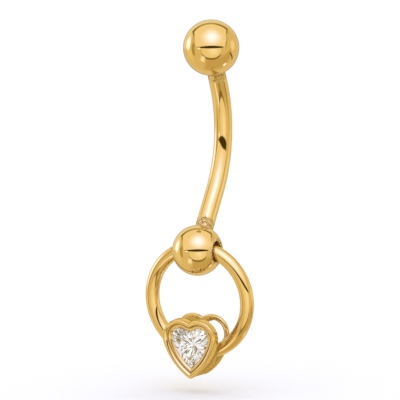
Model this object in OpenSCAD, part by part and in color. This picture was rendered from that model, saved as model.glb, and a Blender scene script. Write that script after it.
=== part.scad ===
// Navel ring: a bowed barbell whose lower ball carries a free swinging hoop with a heart setting.
// The heart faces -Y, +Z is up, and the origin is the middle of the bow, where the piercing sits.

/* [Barbell] */
// Thickness of the bar (14 gauge)
bar_d = 1.63; // [1.2:0.01:1.8]
// Bend radius of the bow, along the middle of the bar
bow_r = 9.7; // [8:0.1:14]
// How far the bow turns in all, in degrees
bow_angle = 57.5; // [40:0.5:65]
// How far the bar leans back at the middle of the bow, in degrees
bow_lean = 5.2; // [0:0.1:10]
// Straight stretch from the bow down to the middle of the lower ball
low_straight = 6; // [4:0.1:8]
// Straight stretch from the bow up to the middle of the top ball
top_straight = 3.9; // [3.6:0.1:6]
// Thickness of the post that the top ball screws on
post_d = 1.1; // [0.8:0.05:1.15]
// Length of the post
post_len = 1.9; // [1.2:0.1:2]

/* [Balls] */
// Diameter of the top ball, which comes off
top_ball_d = 5; // [4.6:0.1:6]
// Diameter of the lower ball, which is soldered to the bar
low_ball_d = 4.5; // [4.2:0.1:5.2]
// Depth of the countersunk edge on each end of the cross hole
hole_edge = 0.2; // [0.05:0.01:0.25]

/* [Hoop] */
// Radius of the hoop, to the middle of its wire
hoop_r = 4.72; // [4.4:0.02:6]
// Thickness of the hoop's wire
wire_d = 1.24; // [1:0.02:1.4]
// How far the top of the hoop lies above the middle of the cross hole, to the middle of the wire
hoop_rise = 0.25; // [0.1:0.01:0.4]
// How far the hanging hoop's foot swings back, in degrees, with its weight below the cross hole
hang_tilt = 4.9; // [0:0.1:10]

/* [Heart setting] */
// Height of the heart, from the top of its lobes to its tip
heart_h = 5.34; // [4.8:0.02:5.8]
// Radius of each lobe
lobe_r = 1.66; // [1.5:0.02:1.8]
// Distance of each lobe's middle from the middle of the heart
lobe_x = 0.94; // [0.84:0.02:1]
// Bend radius of the heart's sides
side_r = 5.7; // [4.8:0.1:8]
// Radius that rounds the tip
tip_r = 0.18; // [0.08:0.02:0.3]
// Radius that rounds the notch between the lobes
notch_r = 0.12; // [0.06:0.02:0.2]
// Depth of the setting, from its front face to the back of the rail
setting_depth = 3.18; // [3:0.02:3.7]
// Depth of the collar that holds the stone
collar_depth = 0.8; // [0.76:0.02:0.9]
// Width of the collar's rim, from its outer edge to the stone
rim_w = 0.79; // [0.7:0.01:0.85]
// How far the front face lies ahead of the hoop's middle plane
face_ahead = 2.51; // [2.2:0.01:2.7]
// How far the middle of the heart lies above the foot of the hoop
heart_lift = 0.69; // [0.5:0.01:1]

/* [Gallery] */
// Width of the rail at the back, seen from behind
rail_w = 0.5; // [0.3:0.02:0.6]
// Depth of the rail, front to back
rail_t = 0.38; // [0.3:0.02:0.6]
// Bend radius of the rail's sides, which bulge past the collar
rail_side_r = 4.9; // [4.6:0.1:8]
// How much lower the rail's tip lies than the collar's
rail_drop = 0.18; // [0:0.02:0.3]
// Radius that rounds the rail's tip
rail_tip_r = 0.5; // [0.2:0.02:0.6]
// How far the lower wall lies inside the outline
wall_inset = 0.16; // [0.1:0.02:0.2]
// Thickness of the lower wall
wall_t = 0.36; // [0.3:0.02:0.44]
// Width of the closed stretch of wall at the notch, between the two windows
bridge_w = 2.1; // [1.2:0.1:2.6]
// Height of the windows' lower edge, from the line through the lobes' middles
window_foot = -0.65; // [-1:0.05:-0.3]
// Rounding of the windows' lower corners
window_r = 0.2; // [0.1:0.02:0.4]
// Height of the solid tip between collar and rail
tip_post_h = 0.9; // [0.6:0.05:1.2]

/* [Stone] */
// Height of the stone above its girdle
crown_h = 0.4; // [0.3:0.02:0.44]
// Depth of the stone below its girdle
pavilion_h = 1.75; // [1.4:0.05:1.9]
// How far the table's edge lies inside the girdle
table_inset = 0.68; // [0.6:0.02:0.76]

/* [Clearances] */
// Gap between the hoop's wire and the wall of the cross hole
hole_gap = 0.05; // [0.03:0.01:0.1]
// Gap round the post in the top ball, and round the bar's end in the ball's seat
post_gap = 0.04; // [0.02:0.01:0.1]
// Gap between the stone and its seat
stone_gap = 0.04; // [0.02:0.01:0.08]

/* [Hidden] */
gold = "#dcab4e";
clear = "#eef2f6";
$fn = 96;
// Overlap of pieces that are soldered into one solid
weld = 0.06;
hair = 0.01;
// How far a cut reaches past what it cuts
past = 1;
// How far the post is rooted in the bar
post_root = 0.5;

// Leans of the bar's two straight stretches, from +Z towards +Y
low_lean = bow_lean + bow_angle / 2;
top_lean = bow_lean - bow_angle / 2;
function bow_centre() = bow_r * [0, -cos(bow_lean), sin(bow_lean)];
function bow_point(lean) = bow_centre() + bow_r * [0, cos(lean), -sin(lean)];
function along(lean) = [0, sin(lean), cos(lean)];
low_ball = bow_point(low_lean) - low_straight * along(low_lean);
top_ball_at = bow_point(top_lean) + top_straight * along(top_lean);

// The top ball's seat is a flat counterbore, just deep enough to swallow the bar's end
seat_depth = 0.06;
bar_r = bar_d / 2;
seat_r = bar_r + post_gap;
seat_floor = sqrt(pow(top_ball_d / 2, 2) - seat_r * seat_r) - seat_depth;
bar_end = seat_floor + post_gap;
// The post's hole is one gap deeper than the post is long
post_tip = bar_end - post_len;

// The wire swings about the middle of the lower ball. Inside the hole it reaches furthest from
// that axis either at the top of the hoop, or on its inner side where the countersink starts
wire_r = wire_d / 2;
hoop_drop = hoop_r - hoop_rise;
top_reach = hoop_rise + wire_r + hole_gap;
bevel_x = sqrt(pow(low_ball_d / 2, 2) - top_reach * top_reach) - hole_edge;
low_reach = hoop_drop - sqrt(pow(hoop_r - wire_r, 2) - bevel_x * bevel_x) + hole_gap;
hole_r = max(top_reach, low_reach);
// The bar's foot is sunk into the lower ball, half way between the ball's skin and the hole
bar_foot = (hole_r + low_ball_d / 2) / 2;
// Where the cross hole breaks through the ball
mouth_x = sqrt(pow(low_ball_d / 2, 2) - hole_r * hole_r);

// The heart is drawn in X and Z with the line through its lobes' middles at Z = 0.
// Its half outline is four arcs that run into each other: tip, side, lobe and notch
tip_min = 0.04;
function arc(c, r, from, to, steps, first) =
    [for (i = [first:steps]) let (a = from + (to - from) * i / steps) c + r * [cos(a), sin(a)]];
// The point that lies r1 from a and r2 from b, on the right of the way from a to b
function meet(a, r1, b, r2) =
    let (d = norm(b - a), u = (b - a) / d, s = (r1 * r1 - r2 * r2 + d * d) / (2 * d))
    a + s * u + sqrt(r1 * r1 - s * s) * [u[1], -u[0]];
// The middle of the right side's arc lies left of the heart. It touches the lobe and the tip's arc
function side_centre(side, h, tip_r) =
    meet([lobe_x, 0], side - lobe_r, [0, lobe_r - h + tip_r], side - tip_r);
// The right half outline, grown by e, from the tip to the notch
function half_outline(e, side, h, tip_r, steps) =
    let (
        lobe = [lobe_x, 0],
        c = side_centre(side, h, tip_r),
        tr = max(tip_r + e, tip_min),
        tip = [0, c[1] - sqrt(pow(side + e - tr, 2) - c[0] * c[0])],
        nr = notch_r - e,
        notch = [0, sqrt(pow(lobe_r + e + nr, 2) - lobe_x * lobe_x)],
        side_low = atan2(tip[1] - c[1], tip[0] - c[0]),
        side_top = atan2(lobe[1] - c[1], lobe[0] - c[0]),
        lobe_end = atan2(notch[1] - lobe[1], notch[0] - lobe[0])
    )
    concat(
        arc(tip, tr, -90, side_low, steps[0], 0),
        arc(c, side + e, side_low, side_top, steps[1], 1),
        arc(lobe, lobe_r + e, side_top, lobe_end, steps[2], 1),
        arc(notch, nr, lobe_end - 180, -90, steps[3], 1)
    );
function whole(half) =
    concat(half, [for (i = [len(half) - 2:-1:1]) [-half[i][0], half[i][1]]]);
// Steps along the tip, side, lobe and notch
FINE = [2, 8, 11, 3];
function front_outline(e) = whole(half_outline(e, side_r, heart_h, tip_r, FINE));
function rail_outline(e) =
    whole(half_outline(e, rail_side_r, heart_h + rail_drop, rail_tip_r, FINE));
// One row of a sweep: the outline grown by e, at depth y, on its way from collar (0) to rail (1)
function row(e, y, share) =
    let (a = front_outline(e), b = rail_outline(e))
    [for (i = [0:len(a) - 1]) let (p = (1 - share) * a[i] + share * b[i]) [p[0], y, p[1]]];

// Closed sweep through rows, each a closed loop, and the last row joined to the first
module ring_sweep(rows) {
    n = len(rows[0]);
    m = len(rows);
    function at(j, i) = (j % m) * n + i % n;
    polyhedron(
        points = [for (r = rows) each r],
        faces = [for (j = [0:m - 1], i = [0:n - 1]) each [
            [at(j, i), at(j + 1, i), at(j + 1, i + 1)],
            [at(j, i), at(j + 1, i + 1), at(j, i + 1)]
        ]]
    );
}

// The heart's frame: the hoop's frame, moved to the lobes' middles on the front face
lobe_line = hoop_drop + hoop_r - heart_lift - heart_h / 2 + lobe_r;
module pendant() {
    translate(low_ball)
        rotate([hang_tilt, 0, 0])
            children();
}
module heart_place() {
    pendant()
        translate([0, -face_ahead, -lobe_line])
            children();
}

// A straight end, from where the bow has this lean: up, or down where turn is 180.
// It is a hair thicker than the bow and reaches a little way into it
module straight(lean, turn, h) {
    translate(bow_point(lean))
        rotate([turn - lean, 0, 0])
            translate([0, 0, -weld])
                cylinder(d = bar_d + hair, h = h + weld);
}
module barbell() {
    color(gold)
        difference() {
            union() {
                translate(bow_centre())
                    rotate([90, 0, 90])
                        rotate([0, 0, -low_lean])
                            rotate_extrude(angle = bow_angle)
                                translate([bow_r, 0])
                                    circle(d = bar_d);
                straight(low_lean, 180, low_straight - bar_foot);
                straight(top_lean, 0, top_straight - bar_end);
                translate(top_ball_at)
                    rotate([-top_lean, 0, 0])
                        translate([0, 0, -bar_end - post_root])
                            cylinder(d = post_d, h = post_len + post_root);
                translate(low_ball)
                    sphere(d = low_ball_d);
            }
            translate(low_ball)
                cross_hole();
        }
}

// The hole runs along X, with a countersunk edge where it leaves the ball
module cross_hole() {
    cone_h = hole_edge + past;
    rotate([0, 90, 0])
        cylinder(r = hole_r, h = low_ball_d + 2 * past, center = true);
    for (side = [-1, 1])
        translate([side * (mouth_x - hole_edge), 0, 0])
            rotate([0, side * 90, 0])
                cylinder(r1 = hole_r, r2 = hole_r + cone_h, h = cone_h);
}

module top_ball() {
    color(gold)
        translate(top_ball_at)
            rotate([-top_lean, 0, 0])
                difference() {
                    sphere(d = top_ball_d);
                    translate([0, 0, -top_ball_d])
                        cylinder(r = seat_r, h = top_ball_d - seat_floor);
                    translate([0, 0, -top_ball_d])
                        cylinder(d = post_d + 2 * post_gap, h = top_ball_d - post_tip + post_gap);
                }
}

// The stone's girdle: how far the collar's lip laps over it, its depth and its thickness
lip_lap = 0.17;
girdle_at = 0.54;
girdle_t = 0.03;
girdle_out = rim_w - lip_lap;
girdle_room = girdle_t / 2 + stone_gap;
// How far the seat's slope under the girdle runs in
seat_slope = 0.14;
// The collar's front: how far each line lies inside the outline, as a share of rim_w, and its
// depth as a share of collar_depth. A broad rounded band, a crease, and the lip
RIM = [
    [0, 0.25],
    [0.05, 0.09],
    [0.13, 0.015],
    [0.22, 0],
    [0.34, 0.025],
    [0.47, 0.1],
    [0.56, 0.21],
    [0.615, 0.335],
    [0.66, 0.29],
    [0.735, 0.25],
    [0.835, 0.27],
    [0.935, 0.35],
    [1, 0.45]
];
// The collar's whole profile: its outer wall, its front, and the stone's seat
COLLAR = concat(
    [[0, collar_depth]],
    [for (p = RIM) [p[0] * rim_w, p[1] * collar_depth]],
    [
        [girdle_out, girdle_at - girdle_room],
        [girdle_out, girdle_at + girdle_room],
        [girdle_out + seat_slope, collar_depth]
    ]
);

// The rail is a rounded band: width and depth as shares
RAIL = [
    [0, 0.25],
    [0.25, 0],
    [0.75, 0],
    [1, 0.25],
    [1, 0.75],
    [0.75, 1],
    [0.25, 1],
    [0, 0.75]
];

module collar() {
    ring_sweep([for (p = COLLAR) row(-p[0], p[1], 0)]);
}
rail_at = setting_depth - rail_t;
window_margin = 0.04;
module rail() {
    ring_sweep([for (p = RAIL) row(-p[0] * rail_w, rail_at + p[1] * rail_t, 1)]);
}
// The wall between collar and rail stands inside the outline. Above window_foot it is open on
// each side, and closed round the notch
module gallery_wall() {
    gap = rail_at - collar_depth;
    difference() {
        ring_sweep([
            row(-wall_inset, collar_depth - weld, 0),
            row(-wall_inset - wall_t, collar_depth - weld, 0),
            row(-wall_inset - wall_t, rail_at + weld, 1),
            row(-wall_inset, rail_at + weld, 1)
        ]);
        for (side = [-1, 1])
            translate([side * (bridge_w / 2 + lobe_r), collar_depth + gap / 2, window_foot])
                window(2 * lobe_r, gap - 2 * window_margin, 2 * lobe_r);
    }
}
// A window through one side, with its two lower corners rounded
module window(w, d, h) {
    translate([-w / 2, -d / 2, window_r])
        cube([w, d, h]);
    translate([-w / 2, window_r - d / 2, 0])
        cube([w, d - 2 * window_r, window_r + weld]);
    for (y = [window_r - d / 2, d / 2 - window_r])
        translate([0, y, window_r])
            rotate([0, 90, 0])
                cylinder(r = window_r, h = w, center = true);
}

// The tip is solid from the collar to the rail
module tip_post() {
    translate([0, rail_at + weld, 0])
        rotate([90, 0, 0])
            linear_extrude(height = rail_at - collar_depth + 2 * weld)
                intersection() {
                    polygon(front_outline(-weld / 2));
                    translate([-lobe_r, lobe_r - heart_h])
                        square([2 * lobe_r, tip_post_h]);
                }
}

module heart_hoop() {
    color(gold) {
        difference() {
            pendant()
                translate([0, 0, -hoop_drop])
                    rotate([90, 0, 0])
                        rotate_extrude()
                            translate([hoop_r, 0])
                                circle(d = wire_d);
            heart_place()
                translate([0, setting_depth + past, 0])
                    rotate([90, 0, 0])
                        linear_extrude(height = setting_depth + 2 * past)
                            polygon(front_outline(-wall_inset - 2 * weld));
        }
        heart_place() {
            collar();
            rail();
            gallery_wall();
            tip_post();
        }
    }
}

// The stone has 24 points round its girdle. The table's corners and the pavilion's ribs lie at
// the even ones, and the facets between them come to a point at the odd ones
CUT = 24;
STEPS_CUT = [1, 5, 6, 1];
// The crown's middle corners: shares of the way from girdle to table, inwards and forwards
star_in = 0.5;
star_up = 0.62;
// The pavilion's middle corners: share of the way from girdle to culet
main_low = 0.72;
// How far the culet lies above the middle of the heart's height
culet_lift = 0.3;
function stone_loop(e) =
    let (h = half_outline(e, side_r, heart_h, tip_r, STEPS_CUT))
    whole([for (i = [0:len(h) - 1]) if (i != 1) h[i]]);
function at_depth(loop, first, step, y) = [for (i = [first:step:CUT - 1]) [loop[i][0], y, loop[i][1]]];
module heart_stone() {
    crown = girdle_at - girdle_t / 2;
    keel = girdle_at + girdle_t / 2;
    girdle_e = -girdle_out - stone_gap;
    girdle = stone_loop(girdle_e);
    table = stone_loop(girdle_e - table_inset);
    middle = stone_loop(girdle_e - table_inset * star_in);
    culet = [0, keel + pavilion_h, lobe_r - heart_h / 2 + culet_lift];
    low = [for (p = at_depth(girdle, 1, 2, keel)) p + main_low * (culet - p)];
    half = CUT / 2;
    t0 = 2 * CUT;
    m0 = t0 + half;
    l0 = m0 + half;
    tip = l0 + half;
    color(clear)
        heart_place()
            polyhedron(
                points = concat(
                    at_depth(girdle, 0, 1, crown),
                    at_depth(girdle, 0, 1, keel),
                    at_depth(table, 0, 2, crown - crown_h),
                    at_depth(middle, 1, 2, crown - crown_h * star_up),
                    low,
                    [culet]
                ),
                faces = concat(
                    [[for (j = [half - 1:-1:0]) t0 + j]],
                    [for (j = [0:half - 1]) each
                        let (
                            g = 2 * j,
                            g1 = g + 1,
                            g2 = (g + 2) % CUT,
                            t1 = t0 + (j + 1) % half,
                            m = m0 + j,
                            m1 = m0 + (j + 1) % half,
                            l = l0 + j,
                            l1 = l0 + (j + 1) % half
                        ) [
                            [t0 + j, t1, m],
                            [m, t1, g2],
                            [t1, m1, g2],
                            [m, g1, g],
                            [m, g2, g1],
                            [g, g1, CUT + g1],
                            [g, CUT + g1, CUT + g],
                            [g1, g2, CUT + g2],
                            [g1, CUT + g2, CUT + g1],
                            [CUT + g, CUT + g1, l],
                            [CUT + g1, CUT + g2, l],
                            [CUT + g2, l1, l],
                            [l, l1, tip]
                        ]]
                )
            );
}

barbell();
top_ball();
heart_hoop();
heart_stone();
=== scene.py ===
import math

import bmesh
import bpy
import numpy as np
from mathutils import Matrix


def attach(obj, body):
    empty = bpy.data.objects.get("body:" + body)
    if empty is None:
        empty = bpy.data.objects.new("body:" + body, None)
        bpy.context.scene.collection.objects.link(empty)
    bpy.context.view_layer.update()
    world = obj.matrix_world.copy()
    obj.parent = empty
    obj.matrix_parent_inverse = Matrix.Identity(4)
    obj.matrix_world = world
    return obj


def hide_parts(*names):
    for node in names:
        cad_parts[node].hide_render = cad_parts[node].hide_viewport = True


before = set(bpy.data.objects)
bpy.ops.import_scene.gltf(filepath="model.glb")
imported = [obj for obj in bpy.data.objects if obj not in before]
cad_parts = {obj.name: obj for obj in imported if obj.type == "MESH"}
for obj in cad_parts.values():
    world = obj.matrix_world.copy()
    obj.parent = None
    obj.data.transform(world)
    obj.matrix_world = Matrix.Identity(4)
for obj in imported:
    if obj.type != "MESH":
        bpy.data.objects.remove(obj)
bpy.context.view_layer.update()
scene = bpy.context.scene
scene.view_settings.view_transform = "Standard"
scene.cycles.max_bounces = 20
scene.cycles.glossy_bounces = 12  # light turns many times inside the stone and the cross hole
print("frame loaded:", ", ".join(sorted(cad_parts)))

# Sizes are in millimetres and angles in degrees until they are used. Each piece's sizes stand above its code
mm = 0.001
rightward = np.array([1.0, 0, 0])
upward = np.array([0, 0, 1.0])
roundSteps = 6  # points over a small quarter round
weldWithin = 2e-8  # metres, as is the next
emptyBelow = 1e-9


def fullTurn(steps):
    # Even angles once round, in radians
    return np.arange(steps) * 2 * math.pi / steps


def smoothLine(points, steps):
    # Curve through the points (Catmull-Rom): in each span the cubic whose end slopes are half the
    # distance between the neighbours
    p = np.asarray(points, float)
    p = np.vstack([2 * p[0] - p[1], p, 2 * p[-1] - p[-2]])
    t = (np.arange(steps) / steps)[None, :, None]
    a, b, c, d = (p[i:len(p) - 3 + i, None, :] for i in range(4))
    spans = 0.5 * (2 * b + (c - a) * t + (2 * a - 5 * b + 4 * c - d) * t**2 + (3 * b - a - 3 * c + d) * t**3)
    return np.vstack([spans.reshape(-1, p.shape[1]), p[-2:-1]])


def easeCorner(before, corner, after, cut, steps=5):
    # Rounds one corner: a quadratic curve from the point that lies cut before it to the one after it
    before, corner, after = (np.asarray(v, float) for v in (before, corner, after))
    start = corner + cut * (before - corner) / np.linalg.norm(before - corner)
    end = corner + cut * (after - corner) / np.linalg.norm(after - corner)
    t = np.linspace(0, 1, steps)[:, None]
    return (1 - t) ** 2 * start + 2 * t * (1 - t) * corner + t**2 * end


def placeObject(name, data):
    thing = bpy.data.objects.new(name, data)
    scene.collection.objects.link(thing)
    return thing


def makePiece(name, points, faces, smoothBelow, uv):
    # Welds points that coincide, turns the faces outwards and shades smooth below an edge angle
    a, b, c, d = (points[faces[:, k]] for k in (0, 1, 2, -1))
    volume = (np.einsum("ij,ij->i", a, np.cross(b, c)) + np.einsum("ij,ij->i", a, np.cross(c, d))).sum()
    if volume < 0:
        faces = faces[:, ::-1]
        uv = uv[:, ::-1]
    mesh = bpy.data.meshes.new(name)
    mesh.from_pydata((points * mm).tolist(), [], faces.tolist())
    layer = mesh.uv_layers.new(name="along")
    layer.uv.foreach_set("vector", uv.astype(np.float32).ravel())
    work = bmesh.new()
    work.from_mesh(mesh)
    bmesh.ops.remove_doubles(work, verts=work.verts, dist=weldWithin)
    bmesh.ops.dissolve_degenerate(work, edges=work.edges, dist=emptyBelow)
    work.to_mesh(mesh)
    work.free()
    mesh.shade_smooth()
    mesh.set_sharp_from_angle(angle=math.radians(smoothBelow))
    return placeObject(name, mesh)


def gridPiece(name, grid, wrapRows=False, smoothBelow=38):
    # A surface over a grid of points, rows by columns: one four-cornered face per cell. The last column
    # joins the first, and so does the last row if it wraps. The UV map holds millimetres along rows and
    # columns
    rows, columns = grid.shape[:2]
    i, j = np.meshgrid(np.arange(rows if wrapRows else rows - 1), np.arange(columns), indexing="ij")
    corners = [(i, j), (i + 1, j), (i + 1, j + 1), (i, j + 1)]
    faces = np.stack([(a % rows) * columns + b % columns for a, b in corners], -1).reshape(-1, 4)
    stepRow = np.linalg.norm(np.diff(grid, axis=0, append=grid[:1]), axis=2).mean(1)
    stepColumn = np.linalg.norm(np.diff(grid, axis=1, append=grid[:, :1]), axis=2).max(0)
    placeRow = np.concatenate([[0], np.cumsum(stepRow)])
    placeColumn = np.concatenate([[0], np.cumsum(stepColumn)])
    uv = np.stack([np.stack([placeRow[a], placeColumn[b]], -1) for a, b in corners], 2).reshape(-1, 4, 2)
    return makePiece(name, grid.reshape(-1, 3), faces, smoothBelow, uv)


def revolved(name, profile, centre, axis, side, steps, wrapRows=False):
    # Surface of revolution: each profile point (h, r) becomes the circle centre + h axis + r (cos, sin)
    h, r = profile[:, 0, None, None], profile[:, 1, None, None]
    a = fullTurn(steps)[None, :, None]
    grid = centre + h * axis + r * (np.cos(a) * side + np.sin(a) * np.cross(axis, side))
    return gridPiece(name, grid, wrapRows=wrapRows)


def closeEnds(grid, mate):
    # Closes a tube: at each end a row that lies midway between each point and its mate across the wall
    first, last = ((grid[k] + grid[k][mate]) / 2 for k in (0, -1))
    return np.concatenate([first[None], grid, last[None]])


# The bowed bar
bar = {
    "thickness": 1.63,
    "bowRadius": 9.7,
    "bowTurn": 57.5,
    "lean": 5.2,
    "lowStraight": 6.0,
    "topStraight": 3.9,
    "solderRound": 0.13,  # rounding where the bar is soldered into the lower ball
    "endRound": 0.06,
    "along": 150,
    "around": 72,
    "roundSteps": 9,
}
lean, halfTurn = math.radians(bar["lean"]), math.radians(bar["bowTurn"] / 2)
lowLean, topLean = lean + halfTurn, lean - halfTurn
barRadius = bar["thickness"] / 2


def alongBar(a):
    # Unit direction up the bar where it leans back by a: (0, sin a, cos a)
    return np.stack([0 * a, np.sin(a), np.cos(a)], -1)


def outOfBow(a):
    # Unit direction from the bow's centre to the bar there: (0, cos a, -sin a)
    return np.stack([0 * a, np.cos(a), -np.sin(a)], -1)


def bowPoint(a):
    # Point of the bow where it leans back by a: the bow's centre plus its radius times outOfBow
    return bar["bowRadius"] * (outOfBow(a) - outOfBow(lean))


def buildBar():
    # A circle carried along the bar's middle line: straight, bow, straight. Its radius grows in a
    # quarter round where it is soldered into the lower ball, and its other end is rounded over
    foot = (holeRadius + lowRadius) / 2
    total = bar["lowStraight"] + bar["bowRadius"] * 2 * halfTurn + bar["topStraight"] - barEnd
    skin = math.sqrt(lowRadius**2 - barRadius**2)
    solder, endRound = bar["solderRound"], bar["endRound"]
    quarter = np.linspace(0, math.pi / 2, bar["roundSteps"])
    s = np.concatenate([
        [foot],
        skin + solder * (1 - np.cos(quarter)),
        np.linspace(skin + solder, total - endRound, bar["along"])[1:],
        total - endRound + endRound * np.sin(quarter[1:]),
        [total],
    ])
    radius = np.concatenate([
        [barRadius + solder],
        barRadius + solder * (1 - np.sin(quarter)),
        np.full(bar["along"] - 1, barRadius),
        barRadius - endRound * (1 - np.cos(quarter[1:])),
        [0],
    ])
    turn = np.clip((s - bar["lowStraight"]) / bar["bowRadius"], 0, 2 * halfTurn)
    a = lowLean - turn
    past = s - bar["lowStraight"] - turn * bar["bowRadius"]
    middle = bowPoint(a) + past[:, None] * alongBar(a)
    w = fullTurn(bar["around"])[:, None]
    around = np.cos(w) * rightward + np.sin(w) * outOfBow(a)[:, None]
    grid = middle[:, None] + radius[:, None, None] * around
    return gridPiece("curvedBar", np.concatenate([grid[:1] * 0 + middle[0], grid]))


# The two balls
balls = {
    "topDiameter": 5.0,
    "lowDiameter": 4.5,
    "holeEdge": 0.2,
    "holeGap": 0.05,
    "postGap": 0.04,
    "seatDepth": 0.06,
    "edgeRound": 0.035,  # outer corner of the countersink
    "throatRound": 0.056,  # and its inner corner
    "seatRound": 0.0245,
    "tapRound": 0.06,
    "drillPoint": 0.1,
    "boreFrom": 0.1,  # points of the cross hole's wall start this far inside its mouth
    "lowAlong": 150,
    "topAlong": 170,
    "boreAlong": 9,
    "around": 160,
}
lowBall = bowPoint(lowLean) - bar["lowStraight"] * alongBar(lowLean)
topBall = bowPoint(topLean) + bar["topStraight"] * alongBar(topLean)
topRadius, lowRadius = balls["topDiameter"] / 2, balls["lowDiameter"] / 2
seatRadius = barRadius + balls["postGap"]
seatFloor = math.sqrt(topRadius**2 - seatRadius**2) - balls["seatDepth"]
barEnd = seatFloor + balls["postGap"]


def ballArc(radius, start, end, steps):
    # Profile of a ball: radius times (cos a, sin a), a running evenly from start to end
    a = np.linspace(start, end, steps)
    return radius * np.stack([np.cos(a), np.sin(a)], -1)


def buildLowerBall():
    # Revolved about X: the ball's skin, a countersunk edge and the wall of the cross hole. The countersink
    # is a cone of 45 degrees, which meets the skin where x squared + (x + k) squared is the radius squared
    inner = math.sqrt(lowRadius**2 - holeRadius**2) - balls["holeEdge"]
    k = holeRadius - inner
    outer = (-2 * k + math.sqrt(4 * k * k - 8 * (k * k - lowRadius**2))) / 4
    start = math.atan2(outer + k, outer)
    skin = ballArc(lowRadius, start, math.pi - start, balls["lowAlong"])
    bend = easeCorner(skin[1], skin[0], (inner, holeRadius), balls["edgeRound"])
    throat = easeCorner(skin[0], (inner, holeRadius), (0, holeRadius), balls["throatRound"])
    mouth = np.vstack([throat[::-1], bend[::-1]])
    bore = np.linspace(balls["boreFrom"] - inner, inner - balls["boreFrom"], balls["boreAlong"])
    bore = np.stack([bore, np.full_like(bore, holeRadius)], -1)
    profile = np.vstack([mouth, skin[2:-2], mouth[::-1] * [-1, 1], bore])
    return revolved("lowerBall", profile, lowBall, rightward, upward, balls["around"], wrapRows=True)


def buildTopBall():
    # Revolved about the bar's own axis: pole, skin, the seat for the bar's end and the tapped hole
    threadRadius = post["thickness"] / 2 + balls["postGap"]
    holeEnd = balls["postGap"] - postTip
    seat, root, end = (-seatFloor, seatRadius), (-seatFloor, threadRadius), (holeEnd, threadRadius)
    last = math.atan2(seatRadius, -math.sqrt(topRadius**2 - seatRadius**2))
    skin = ballArc(topRadius, 0, last, balls["topAlong"])
    rim = easeCorner(skin[-2], skin[-1], seat, balls["seatRound"])
    corner = easeCorner(seat, root, end, balls["tapRound"])
    profile = np.vstack([skin[:-1], rim, [seat], corner, [end, (holeEnd + balls["drillPoint"], 0)]])
    return revolved("topBall", profile, topBall, alongBar(topLean), rightward, balls["around"])


# The post that the top ball screws on to
post = {
    "thickness": 1.1,
    "length": 1.9,
    "pitch": 0.25,
    "threadDepth": 0.13,
    "leadIn": 0.22,  # taper at the tip
    "leadDepth": 0.17,
    "neck": 0.12,  # plain stretch before the thread
    "steepness": 2.4,  # of the thread's flanks
    "rootFlat": 0.1,
    "sunk": 0.3,  # how far it starts inside the bar
    "along": 170,
    "around": 64,
}
postTip = barEnd - post["length"]


def buildPost():
    # A screw thread: radius = root + depth * wave(along / pitch - turn), the wave a triangle with its
    # crest and root cut flat. It grows out of the neck and tapers away at the tip
    along = np.linspace(-post["sunk"], post["length"], post["along"])[:, None]
    w = fullTurn(post["around"])
    phase = (along / post["pitch"] - w / (2 * math.pi)) % 1.0
    wave = np.clip(post["steepness"] * np.abs(phase - 0.5) - post["rootFlat"], 0, 1)
    grown = np.clip(along / post["neck"] - 1, 0, 1)
    taper = np.clip((along - post["length"]) / post["leadIn"] + 1, 0, 1)
    outer = post["thickness"] / 2
    radius = np.minimum(outer - post["threadDepth"] * (1 - wave * grown), outer - post["leadDepth"] * taper)
    axis = alongBar(topLean)
    middle = topBall + (along[..., None] - barEnd) * axis
    w = w[:, None]
    around = np.cos(w) * rightward + np.sin(w) * np.cross(axis, rightward)
    grid = middle + radius[..., None] * around
    ends = np.ones((1, post["around"], 1))
    grid = np.concatenate([middle[0] * ends, grid, middle[-1] * ends])
    return gridPiece("postThread", grid, smoothBelow=50)


# The hoop. Its frame has the lower ball's middle at its origin and is turned about X by the tilt
hoop = {
    "radius": 4.72,
    "thickness": 1.24,
    "rise": 0.25,
    "tilt": 4.9,
    "endInset": 0.24,  # how far the wire's ends are sunk into the setting's wall
    "endBetween": (95, 172),  # the wire ends between these angles from its top
    "halvings": 40,
    "along": 260,
    "around": 64,
}
wireRadius = hoop["thickness"] / 2
hoopDrop = hoop["radius"] - hoop["rise"]
topReach = hoop["rise"] + wireRadius + balls["holeGap"]
bevelX = math.sqrt(lowRadius**2 - topReach**2) - balls["holeEdge"]
lowReach = hoopDrop - math.sqrt((hoop["radius"] - wireRadius) ** 2 - bevelX**2) + balls["holeGap"]
holeRadius = max(topReach, lowReach)


def pendantPlace(p):
    # Hoop's frame to the row's: turned about X by the tilt, then moved to the lower ball's middle
    a = math.radians(hoop["tilt"])
    x, y, z = p[..., 0], p[..., 1], p[..., 2]
    turned = np.stack([x, y * math.cos(a) - z * math.sin(a), y * math.sin(a) + z * math.cos(a)], -1)
    return turned + lowBall


def buildHoop():
    # A torus that is open at its foot. Each line along the wire ends where it reaches endInset inside the
    # heart's outline, found by halving the interval
    w = fullTurn(hoop["around"])
    ring = hoop["radius"] + wireRadius * np.cos(w)
    depth = wireRadius * np.sin(w)
    share = np.clip((heart["faceAhead"] + depth - collar["depth"]) / wallGap, 0, 1)
    low, high = (np.full_like(w, math.radians(limit)) for limit in hoop["endBetween"])
    for _ in range(hoop["halvings"]):
        turn = (low + high) / 2
        x, z = ring * np.sin(turn), ring * np.cos(turn) - hoopDrop + lobeLine
        out = (1 - share) * outsideBy(x, z, frontShape) + share * outsideBy(x, z, railShape)
        outside = out > -hoop["endInset"]
        low, high = np.where(outside, turn, low), np.where(outside, high, turn)
    turn = np.linspace(-1, 1, hoop["along"])[:, None] * low
    grid = np.stack([ring * np.sin(turn), depth + 0 * turn, ring * np.cos(turn) - hoopDrop], -1)
    start, end = (grid[k].mean(0) + 0 * grid[k] for k in (0, -1))
    return gridPiece("hoopWire", pendantPlace(np.concatenate([start[None], grid, end[None]])))


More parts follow.
